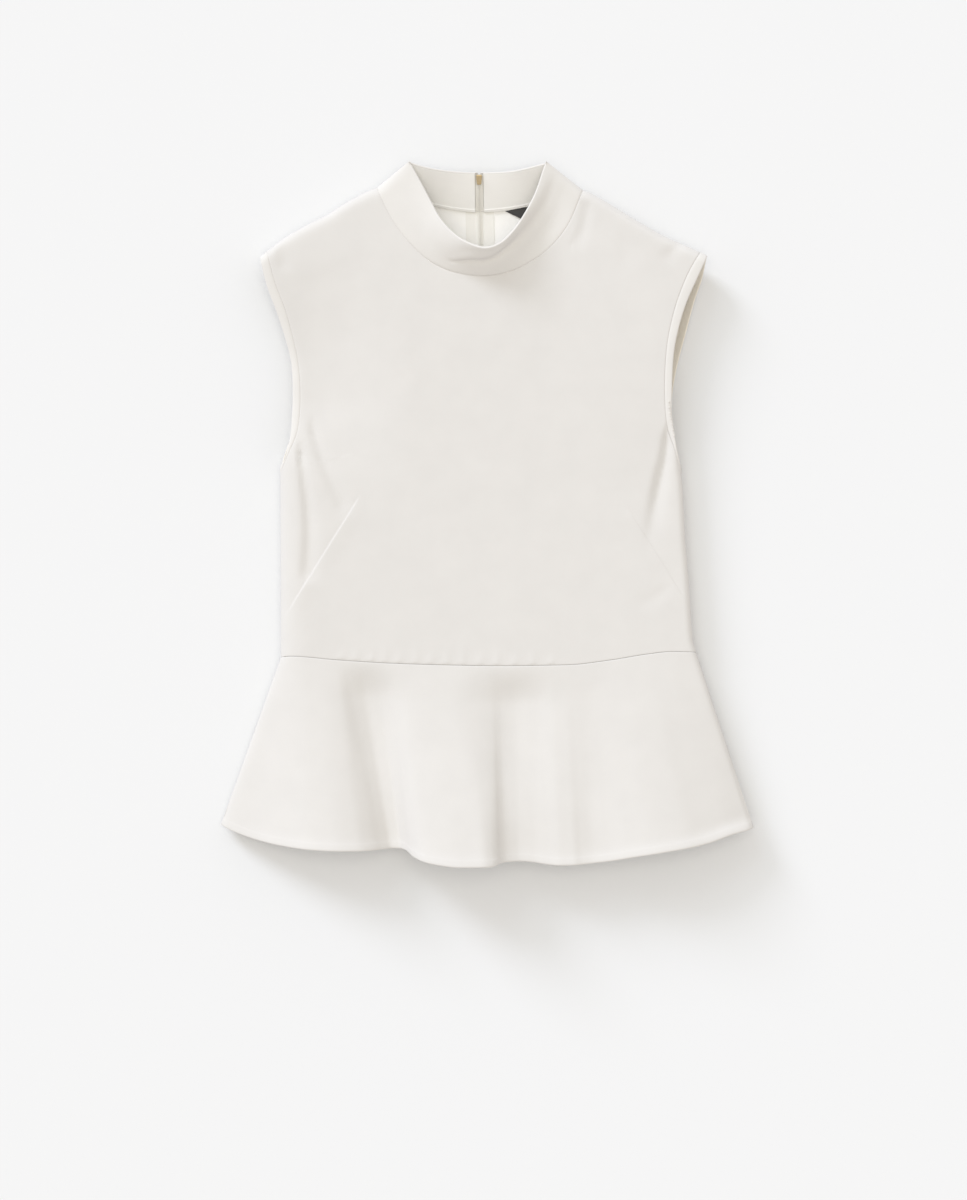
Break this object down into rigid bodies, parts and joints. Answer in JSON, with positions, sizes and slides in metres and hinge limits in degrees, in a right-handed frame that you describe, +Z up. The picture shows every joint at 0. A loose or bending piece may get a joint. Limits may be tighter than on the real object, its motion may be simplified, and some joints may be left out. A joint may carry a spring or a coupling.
{
  "type": "peplum top",
  "caption": "Sleeveless women's top lying flat on its back, with a stand collar, a zip down the back, bust darts and a flared peplum below the waist seam.",
  "frame": {"origin": "on the surface the top lies on, below the middle of its outline", "axes": "+Y from the hem to the collar, +X to the right of a person looking down on the front, +Z up, out of the front"},
  "size_m": [0.4814, 0.6323, 0.058],
  "materials": {
    "crepe": "matt, finely grained crepe",
    "zip_tape": "matt woven tape",
    "label": "black satin",
    "zip_metal": "polished pale gold"
  },
  "bodies": {
    "garment": {"front_bodice": "crepe", "back_bodice_left": "crepe", "back_bodice_right": "crepe", "armhole_band_left": "crepe", "armhole_band_right": "crepe", "front_peplum": "crepe", "back_peplum_left": "crepe", "back_peplum_right": "crepe", "collar": "crepe", "zip_tape_left": "zip_tape", "zip_tape_right": "zip_tape", "label": "label", "zip_slider": "zip_metal"},
    "pull_tab": {"zip_pull": "zip_metal"}
  },
  "joints": [
    {"name": "pull_tab_swing", "type": "hinge", "parent": "garment", "child": "pull_tab", "pos_m": [-0.0071, 0.30462, 0.01113], "axis": [1, 0, 0], "range_deg": [-8, 150]}
  ]
}
